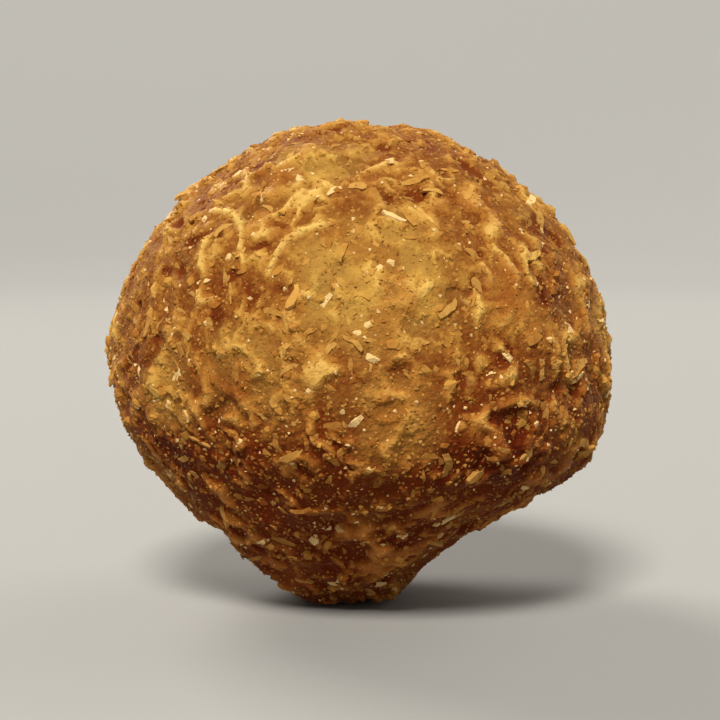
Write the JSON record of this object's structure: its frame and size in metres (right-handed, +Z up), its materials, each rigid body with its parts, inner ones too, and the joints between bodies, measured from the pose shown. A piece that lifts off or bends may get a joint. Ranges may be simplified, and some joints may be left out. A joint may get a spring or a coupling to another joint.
{
  "type": "chocolate-covered hazelnut",
  "caption": "Roasted hazelnut in a thick milk chocolate coat dusted with cocoa and fine crumbs: a nearly round sweet drawn in to a blunt tip with a small flat spot.",
  "frame": {"origin": "middle of the sweet's box, at its underside, on the flat spot of its tip", "axes": "+X from the left side to the right side as pictured, +Y from the front to the back, +Z upwards from the blunt tip to the rounded top"},
  "size_m": [0.024, 0.0232, 0.0226],
  "materials": {
    "cocoa_coat": "dry, powdery milk chocolate with light tan crumbs and darker pits"
  },
  "bodies": {
    "root": {"coated_hazelnut": "cocoa_coat"}
  },
  "joints": []
}
